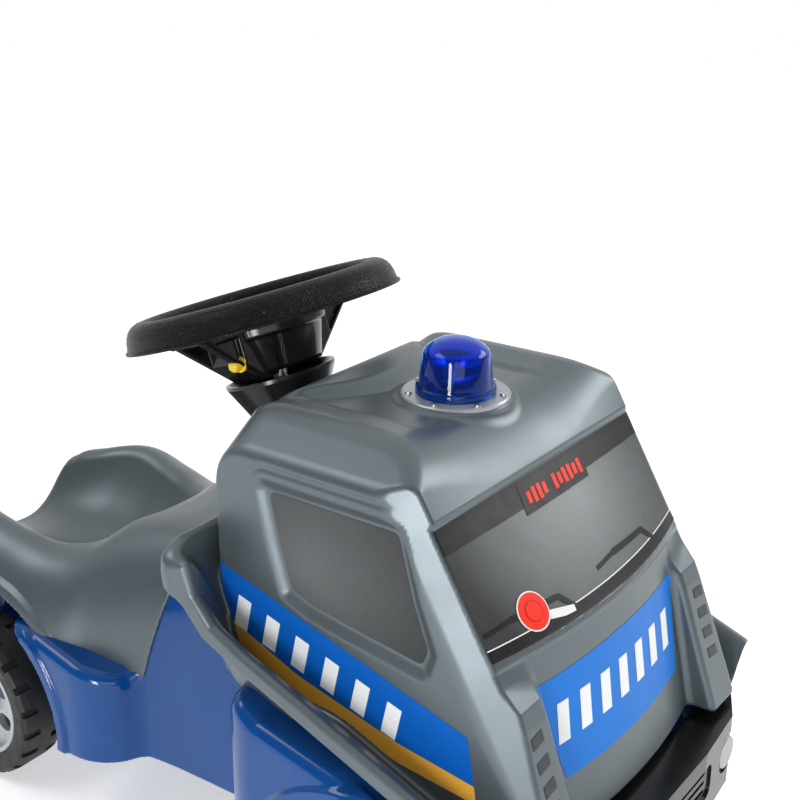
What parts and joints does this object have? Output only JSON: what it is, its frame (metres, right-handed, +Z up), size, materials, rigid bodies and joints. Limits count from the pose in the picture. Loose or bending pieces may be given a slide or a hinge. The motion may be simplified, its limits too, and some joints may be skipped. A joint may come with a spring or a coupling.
{
  "type": "ride-on toy truck",
  "caption": "Children's ride-on police truck pushed along with the feet, with a saddle seat, a working steering wheel and a roof beacon.",
  "frame": {"origin": "on the ground, at the middle of the length and width", "axes": "+X forward, +Y to the truck's left, +Z up"},
  "size_m": [0.762, 0.376, 0.5088],
  "materials": {
    "grey_shell": "satin",
    "blue_body": "glossy",
    "black_plastic": "fine grain",
    "lamp_clear": "clear",
    "grey_ring": "satin",
    "steel": "plain",
    "beacon_blue": "translucent",
    "reflector": "bright",
    "lamp_white": "clear",
    "bush_white": "plain",
    "yellow_plastic": "glossy",
    "tyre_black": "moulded",
    "rim_silver": "satin",
    "cap_blue": "glossy"
  },
  "bodies": {
    "chassis": {"front_shell": "grey_shell", "seat_shell": "grey_shell", "chassis_front": "blue_body", "chassis_tunnel": "blue_body", "chassis_rear": "blue_body", "front_bumper": "black_plastic", "grille": "black_plastic", "steering_column": "black_plastic", "battery_box": "black_plastic", "headlight_left": "lamp_clear", "headlight_right": "lamp_clear", "beacon_base": "grey_ring", "beacon_screw_1": "steel", "beacon_screw_2": "steel", "beacon_screw_3": "steel", "beacon_screw_4": "steel", "beacon_screw_5": "steel", "beacon_screw_6": "steel", "beacon_screw_7": "steel", "front_beam": "steel", "kingpin_left": "steel", "kingpin_right": "steel", "rear_axle": "steel", "axle_nut_rear_left": "steel", "axle_nut_rear_right": "steel", "beacon_reflector": "reflector", "beacon_lamp": "lamp_white", "bush_upper": "bush_white", "bush_lower": "bush_white", "axle_bush_left": "bush_white", "axle_bush_right": "bush_white"},
    "steering": {"steering_shaft": "steel", "steering_crank": "steel", "steering_wheel": "black_plastic", "hub_cap": "black_plastic", "sound_box": "black_plastic"},
    "horn": {"horn_button": "yellow_plastic"},
    "beacon_cap": {"beacon_dome": "beacon_blue"},
    "plate": {"steering_plate": "black_plastic"},
    "knuckle_left": {"knuckle_left": "steel", "axle_nut_front_left": "steel"},
    "knuckle_right": {"knuckle_right": "steel", "axle_nut_front_right": "steel"},
    "wheel_front_left": {"tyre_front_left": "tyre_black", "rim_front_left": "rim_silver", "wheel_cap_front_left": "cap_blue"},
    "wheel_front_right": {"tyre_front_right": "tyre_black", "rim_front_right": "rim_silver", "wheel_cap_front_right": "cap_blue"},
    "wheel_rear_left": {"tyre_rear_left": "tyre_black", "rim_rear_left": "rim_silver", "wheel_cap_rear_left": "cap_blue"},
    "wheel_rear_right": {"tyre_rear_right": "tyre_black", "rim_rear_right": "rim_silver", "wheel_cap_rear_right": "cap_blue"}
  },
  "joints": [
    {"name": "steering_turn", "type": "hinge", "parent": "chassis", "child": "steering", "pos_m": [-0.008, 0, 0.462], "axis": [-0.3256, 0, 0.9455], "range_deg": [-36, 36]},
    {"name": "horn_press", "type": "slide", "parent": "steering", "child": "horn", "axis": [0, 1, 0], "range_m": [0, 0.003], "stiffness_N_per_m": 300, "springref_m": -0.002},
    {"name": "beacon_twist", "type": "hinge", "parent": "chassis", "child": "beacon_cap", "pos_m": [0.185, 0, 0.45], "axis": [0, 0, 1], "range_deg": [0, 25]},
    {"name": "plate_slide", "type": "slide", "parent": "chassis", "child": "plate", "axis": [0, 1, 0], "range_m": [-0.0203, 0.0203]},
    {"name": "knuckle_left_turn", "type": "hinge", "parent": "chassis", "child": "knuckle_left", "pos_m": [0.235, 0.112, 0.09], "axis": [0, 0, 1], "range_deg": [-28.8, 28.8]},
    {"name": "knuckle_right_turn", "type": "hinge", "parent": "chassis", "child": "knuckle_right", "pos_m": [0.235, -0.112, 0.09], "axis": [0, 0, 1], "range_deg": [-28.8, 28.8]},
    {"name": "wheel_front_left_spin", "type": "hinge", "parent": "knuckle_left", "child": "wheel_front_left", "pos_m": [0.235, 0.16, 0.075], "axis": [0, 1, 0], "continuous": true},
    {"name": "wheel_front_right_spin", "type": "hinge", "parent": "knuckle_right", "child": "wheel_front_right", "pos_m": [0.235, -0.16, 0.075], "axis": [0, 1, 0], "continuous": true},
    {"name": "wheel_rear_left_spin", "type": "hinge", "parent": "chassis", "child": "wheel_rear_left", "pos_m": [-0.24, 0.134, 0.075], "axis": [0, 1, 0], "continuous": true},
    {"name": "wheel_rear_right_spin", "type": "hinge", "parent": "chassis", "child": "wheel_rear_right", "pos_m": [-0.24, -0.134, 0.075], "axis": [0, 1, 0], "continuous": true}
  ],
  "couplings": [
    {"joint": "plate_slide", "follows": "steering_turn", "m_per_rad": 0.032},
    {"joint": "knuckle_left_turn", "follows": "steering_turn", "ratio": 0.7944},
    {"joint": "knuckle_right_turn", "follows": "steering_turn", "ratio": 0.7944}
  ]
}
